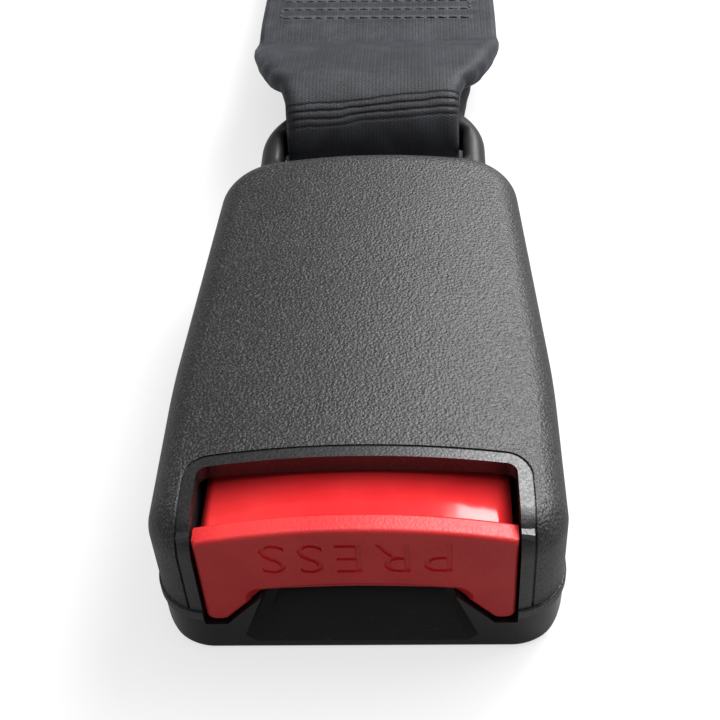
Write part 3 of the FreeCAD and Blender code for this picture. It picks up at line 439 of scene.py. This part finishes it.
# the button with its word, cut into the face upside down, because it is read from the strap's side
lettering = {
    "word": "PRESS", "height": 5.8 * mm, "capShare": 0.69, "pitch": 1.2, "thinner": 0.008, "curveSteps": 4,
    "middle": (0.2 * mm, 19.3 * mm), "face": -39.6 * mm, "cut": 0.28 * mm,
    "weldWithin": 1e-6, "sharpFrom": math.radians(32), "flatFront": 0.9999,
}


def makeWord():  # the word's solid, where it cuts the button's face
    curve = bpy.data.curves.new("pressWord", "FONT")
    curve.body = lettering["word"]
    curve.size = lettering["height"] / lettering["capShare"]
    curve.space_character = lettering["pitch"]
    curve.align_x = "CENTER"
    curve.align_y = "CENTER"
    curve.offset = -lettering["thinner"] * curve.size
    curve.extrude = lettering["cut"]
    curve.resolution_u = lettering["curveSteps"]
    word = addObject("pressWord", curve)
    mesh = settled(word, "pressCutter")
    bpy.data.objects.remove(word)
    x, z = lettering["middle"]
    upsideDown = Matrix.Rotation(math.pi, 4, "Y") @ Matrix.Rotation(math.pi / 2, 4, "X")
    mesh.transform(Matrix.Translation((x, lettering["face"], z)) @ upsideDown)
    return addObject("pressCutter", mesh)


def makeButton():
    cutter = makeWord()
    shape = bmesh.new()
    shape.from_mesh(nodes["press_button"].data)
    bmesh.ops.remove_doubles(shape, verts=shape.verts, dist=lettering["weldWithin"])
    blank = addObject("pressBlank", meshOf(shape, "pressButton"))
    cut = blank.modifiers.new("cut", "BOOLEAN")
    cut.operation = "DIFFERENCE"
    cut.solver = "EXACT"
    cut.object = cutter
    blank.data = settled(blank, "pressCut")
    blank.modifiers.clear()
    bpy.data.objects.remove(cutter)
    smooth(blank.data)
    blank.data.set_sharp_from_angle(angle=lettering["sharpFrom"])
    shape = bmesh.new()
    shape.from_mesh(blank.data)
    for edge in shape.edges:  # the flat front ends sharply, so that its letters leave no smudges on it
        if len({face.normal.y < -lettering["flatFront"] for face in edge.link_faces}) > 1:
            edge.smooth = False
    shape.to_mesh(blank.data)
    shape.free()
    shade = blank.modifiers.new("shade", "WEIGHTED_NORMAL")  # keeps flat faces flat beside rounded edges
    shade.keep_sharp = True
    shadedMesh = settled(blank, "pressButton")
    bpy.data.objects.remove(blank)
    button = makePiece(shadedMesh, "pressButtonLettered", "button", "red_plastic")
    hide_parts("press_button")


makeButton()
print("button lettered")

# the strap's line, seen from the side, from the loop round the lug's bar to the loop round the tongue's bar;
# bars are given by their distance along the object and their height, and the two ends as shares of the sewn
# middle; foldOver and foldUnder say how the edges fold in to pass the slot, above and below the bar: distance
# behind it and the flat part's half width in millimetres, the flaps' angle in degrees, and the fold's radius
strap = {
    "width": 47.0 * mm, "thickness": 1.2 * mm, "layerGap": 0.53,
    "lugBar": (63.0 * mm, 12.2 * mm), "lugRadius": 9.4 * mm,
    "tongueBar": (176.0 * mm, 5.4 * mm), "tongueRadius": 4.98 * mm,
    "sewnStart": 30.0 * mm, "sewnEnd": 34.0 * mm, "innerEnd": 0.2, "outerEnd": 0.72, "drop": 0.4 * mm,
    "swells": [{"at": 14.0 * mm, "rise": 0.9 * mm, "length": 8.0 * mm},
               {"at": 28.0 * mm, "rise": -1.3 * mm, "length": 5.0 * mm}], "swellsTo": 48.0 * mm,
    "foldOver": [
        (-8.0, 13.3, 177, 1.3), (-4.0, 13.6, 177, 1.3), (0.0, 14.6, 176, 1.25), (5.0, 17.0, 150, 1.4),
        (9.0, 18.5, 124, 1.6), (15.0, 20.0, 98, 1.6), (21.0, 21.5, 74, 1.5), (25.0, 22.4, 42, 1.4),
        (28.0, 23.5, 0, 1.4),
    ],
    "foldUnder": [
        (-8.0, 13.3, 177, 1.3), (-4.0, 14.2, 177, 1.25), (2.0, 15.3, 176, 1.2), (10.0, 14.8, 168, 1.2),
        (20.0, 16.6, 160, 1.2), (26.0, 21.0, 80, 1.4), (29.0, 23.5, 0, 1.4),
    ],
    "stepsAlong": 500, "stepsAcross": 50, "lineSteps": 40, "tongueSteps": 60, "lugSteps": 120, "rounding": 4,
}


def foldAt(table, reach):  # half width, angle and radius there, between the two nearest rows
    reach = max(table[0][0], min(table[-1][0], reach / mm))
    for before, after in zip(table, table[1:]):
        if reach <= after[0]:
            share = (reach - before[0]) / (after[0] - before[0])
            share = (share * share * (3 - 2 * share) + share) / 2
            half, angle, bend = [a + (b - a) * share for a, b in zip(before[1:], after[1:])]
            return half * mm, math.radians(angle), bend * mm


def foldedIn(across, half, angle, bend):  # how far sideways, and how far below the flat part, a point lies
    spare = abs(across) - half
    if spare <= 0:
        return across, 0.0
    turned = min(spare / bend, angle)
    rest = max(spare - bend * angle, 0)
    sideways = half + bend * math.sin(turned) + rest * math.cos(angle)
    return math.copysign(sideways, across), bend * (1 - math.cos(turned)) + rest * math.sin(angle)


def sewnLine():  # where the sewn middle starts and ends, and its unit vector and normal
    bar, tip = Vector(strap["lugBar"]), Vector(strap["tongueBar"])
    near = Vector((bar.x + strap["sewnStart"], bar.y - strap["drop"]))
    share = (tip.x - bar.x - strap["sewnEnd"]) / (tip.x - bar.x)
    far = Vector((tip.x - strap["sewnEnd"], bar.y + (tip.y - bar.y) * share))
    lift = (far - near).normalized()
    return near, far, lift, Vector((-lift.y, lift.x))


def tangentAngle(centre, radius, point, side):  # where a line from the point touches the circle on a side
    reach = point - centre
    return math.atan2(reach.y, reach.x) + side * math.acos(radius / reach.length)


def arcPoint(centre, radius, angle):
    return centre + Vector((math.cos(angle), math.sin(angle))) * radius


def straight(start, end):
    count = strap["lineSteps"]
    return [start.lerp(end, i / count) for i in range(count)]


def around(centre, radius, entry, leave, count):  # in from one point, round the circle, and out to another
    first = tangentAngle(centre, radius, entry, 1)
    last = tangentAngle(centre, radius, leave, -1)
    while last < first:
        last += 2 * math.pi
    arc = [arcPoint(centre, radius, first + (last - first) * i / count) for i in range(count)]
    start, end = arcPoint(centre, radius, first), arcPoint(centre, radius, last)
    return straight(entry, start) + arc + straight(end, leave)


def strapLine():  # along the underside, round the tongue's bar, back on top, round the lug's bar, and below
    bar, tip = Vector(strap["lugBar"]), Vector(strap["tongueBar"])
    near, far, _, normal = sewnLine()
    layer = normal * strap["thickness"] * strap["layerGap"]
    inner, outer = near.lerp(far, strap["innerEnd"]), near.lerp(far, strap["outerEnd"])
    points = straight(inner - layer, far - layer)
    points += around(tip, strap["tongueRadius"], far - layer, far + layer, strap["tongueSteps"])
    points += straight(far + layer, near + layer)
    points += around(bar, strap["lugRadius"], near + layer, near - layer * 3, strap["lugSteps"])
    points += straight(near - layer * 3, outer - layer * 3)
    return points + [outer - layer * 3]


def evenly(points, count):  # the line resampled to equal steps, and its length
    lengths = [0.0]
    for before, after in zip(points, points[1:]):
        lengths.append(lengths[-1] + (after - before).length)
    line, run = [], 0
    for i in range(count + 1):
        want = lengths[-1] * i / count
        while run < len(points) - 2 and lengths[run + 1] < want:
            run += 1
        share = (want - lengths[run]) / (lengths[run + 1] - lengths[run])
        line.append(points[run].lerp(points[run + 1], min(share, 1)))
    for _ in range(strap["rounding"]):  # rounds off the places where a line meets an arc
        inner = [(line[i - 1] + line[i] * 2 + line[i + 1]) / 4 for i in range(1, count)]
        line = [line[0]] + inner + [line[-1]]
    return line, lengths[-1]


def riseAt(reach):  # how far the top layer stands over its straight line
    swells = strap["swells"]
    return sum(one["rise"] * math.exp(-((reach - one["at"]) / one["length"]) ** 2) for one in swells)


def makeStrap():
    steps = strap["stepsAlong"]
    line, length = evenly(strapLine(), steps)
    bar = Vector(strap["lugBar"])
    upper = [at.y > bar.y - strap["drop"] * max(at.x - bar.x, 0) / strap["sewnStart"] for at in line]
    top = max(range(len(line)), key=lambda i: line[i].y)
    for i, at in enumerate(line):
        reach = at.x - bar.x
        if upper[i] and reach < strap["swellsTo"]:
            line[i] = Vector((at.x, at.y + riseAt(reach)))
    shape = bmesh.new()
    bmesh.ops.create_grid(shape, x_segments=strap["stepsAcross"], y_segments=steps, size=0.5)
    uvLayer = shape.loops.layers.uv.new("weave")
    flat = {}
    for vertex in shape.verts:
        across = vertex.co.x * strap["width"]
        step = round((vertex.co.y + 0.5) * steps)
        flat[vertex] = (across, length * (step - top) / steps)
        at = line[step]
        ahead = (line[min(step + 1, steps)] - line[max(step - 1, 0)]).normalized()
        out = Vector((ahead.y, -ahead.x))
        fold = foldAt(strap["foldOver" if upper[step] else "foldUnder"], at.x - bar.x)
        sideways, inward = foldedIn(across, *fold)
        folded = at - out * inward
        vertex.co = Vector((sideways, folded.x, folded.y))
    for face in shape.faces:
        for loop in face.loops:
            loop[uvLayer].uv = flat[loop.vert]
    bmesh.ops.recalc_face_normals(shape, faces=shape.faces)
    mesh = meshOf(shape, "beltStrap")
    smooth(mesh)
    belt = makePiece(mesh, "beltStrap", "strap", "black_webbing")
    wall = belt.modifiers.new("thickness", "SOLIDIFY")
    wall.thickness = strap["thickness"]
    wall.offset = 0
    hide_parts("webbing_strap")
    return belt, length


belt, beltLength = makeStrap()
print("strap folded, length", round(beltLength, 4))

# the sewing: one thread to and fro across the strap, seen on both of its faces; over and under are how far
# those faces stand from the sewn line, in strap thicknesses
sewing = {
    "left": -19.8 * mm, "right": 18.6 * mm, "first": 37.3 * mm, "pitch": 3.9 * mm, "rows": 10,
    "slant": -0.055, "stitch": 2.3 * mm, "gap": 0.4 * mm, "threadWidth": 0.6 * mm, "threadHeight": 0.42 * mm,
    "over": 1.06, "under": -2.14, "roundSteps": 8, "endSteps": 6,
}


def sewingRoute():  # the corners of the thread's way, as places across and along the object
    start = strap["lugBar"][0] + sewing["first"]
    route = []
    for row in range(sewing["rows"]):
        ends = [sewing["left"], sewing["right"]]
        if row % 2 == 0:
            ends.reverse()
        for x in ends:
            route.append(Vector((x, start + row * sewing["pitch"] + x * sewing["slant"])))
    return route


def makeStitches():
    near, _, lift, normal = sewnLine()
    tilt = Matrix.Rotation(math.atan2(lift.y, lift.x), 4, "X")
    route = sewingRoute()
    shape = bmesh.new()
    for start, end in zip(route, route[1:]):
        run = end - start
        count = max(1, round(run.length / sewing["stitch"]))
        length = run.length / count - sewing["gap"]
        size = Matrix.Diagonal((length, sewing["threadWidth"], sewing["threadHeight"], 1))
        turn = Matrix.Rotation(math.atan2(run.y, run.x), 4, "Z")
        for i in range(count):
            middle = start.lerp(end, (i + 0.5) / count)
            height = near.y + (middle.y - near.x) / lift.x * lift.y
            for side in ("over", "under"):
                raised = Vector((0, normal.x, normal.y)) * strap["thickness"] * sewing[side]
                place = Matrix.Translation(Vector((middle.x, middle.y, height)) + raised)
                made = bmesh.ops.create_uvsphere(shape, u_segments=sewing["roundSteps"],
                                                 v_segments=sewing["endSteps"], radius=0.5)
                bmesh.ops.transform(shape, matrix=place @ tilt @ turn @ size, verts=made["verts"])
    mesh = meshOf(shape, "beltStitches")
    smooth(mesh)
    return makePiece(mesh, "beltStitches", "strap", "thread")


stitches = makeStitches()
print("strap sewn")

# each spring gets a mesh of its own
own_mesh(nodes["button_spring_right"])
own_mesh(nodes["button_spring_left"])
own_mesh(nodes["ejector_spring"])
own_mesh(nodes["latch_spring"])

# plain floor and soft studio light: a window behind on the right with the pale wall beside it, a wide sky
# overhead, and a weak lamp in front; mirrored is how much of the white shows in metal and glass
studio = {
    "floor": 3.0, "world": 0.22, "floorShade": rgb(0.16, 0.16, 0.16), "seenShade": rgb(0.95, 0.95, 0.95),
    "floorRough": 0.9, "seenGlow": 0.7, "mirrored": 0.2, "white": rgb(1, 1, 1),
    "lamps": [
        {"name": "windowLamp", "from": (0.39, 0.65, 0.655), "far": 0.8, "size": (0.30, 0.34), "power": 4.2},
        {"name": "wallLamp", "from": (0.55, 0.38, 0.74), "far": 0.9, "size": (0.6, 0.5), "power": 7.0},
        {"name": "skyLamp", "from": (0.1, 0.08, 1.0), "far": 1.0, "size": (1.0, 1.0), "power": 5.0},
        {"name": "frontLamp", "from": (-0.1, -0.9, 0.5), "far": 1.2, "size": (0.8, 0.5), "power": 0.35},
    ],
}
mirrorRays = ("Is Glossy Ray", "Is Transmission Ray")


def makeFloor():
    shape = bmesh.new()
    bmesh.ops.create_grid(shape, x_segments=1, y_segments=1, size=studio["floor"])
    floor = addObject("studioFloor", meshOf(shape, "studioFloor"))
    finish = Finish("paleFloor", Roughness=studio["floorRough"], Specular_IOR_Level=0.0)
    seen = finish.add("LightPath", output="Is Camera Ray")
    for kind in mirrorRays:
        seen = seen.math("MAXIMUM", finish.add("LightPath", output=kind) * studio["mirrored"])
    shade = finish.blendColors(seen, studio["floorShade"], studio["seenShade"])
    finish.feed(finish.shader.inputs["Base Color"], shade)
    glow = finish.add("Emission", {}, {"Color": studio["white"], "Strength": 1.0})
    matte = Signal(finish.tree, finish.shader.outputs[0])
    mixed = finish.add("MixShader", {}, {0: seen * studio["seenGlow"], 1: matte, 2: glow})
    finish.tree.links.new(mixed.socket, finish.tree.nodes["Material Output"].inputs["Surface"])
    floor.data.materials.append(finish.material)


def makeWorld():
    world = bpy.data.worlds.new("studioWorld")
    bpy.context.scene.world = world
    world.use_nodes = True
    tree = world.node_tree
    background = tree.nodes["Background"]
    background.inputs["Color"].default_value = studio["white"]
    lightPath = tree.nodes.new("ShaderNodeLightPath")
    strength = Signal(tree, lightPath.outputs["Is Camera Ray"]).math("MAXIMUM", studio["world"])
    for kind in mirrorRays:
        strength = strength.math("MAXIMUM", Signal(tree, lightPath.outputs[kind]) * studio["mirrored"])
    tree.links.new(strength.socket, background.inputs["Strength"])


def makeLamp(lamp):
    data = bpy.data.lights.new(lamp["name"], "AREA")
    data.shape = "RECTANGLE"
    data.size, data.size_y = lamp["size"]
    data.energy = lamp["power"]
    light = addObject(lamp["name"], data)
    direction = Vector(lamp["from"]).normalized()
    light.location = direction * lamp["far"]
    light.rotation_euler = direction.to_track_quat("Z", "Y").to_euler()


makeFloor()
makeWorld()
for lamp in studio["lamps"]:
    makeLamp(lamp)
bpy.context.scene.view_settings.view_transform = "Standard"
print("studio lit")
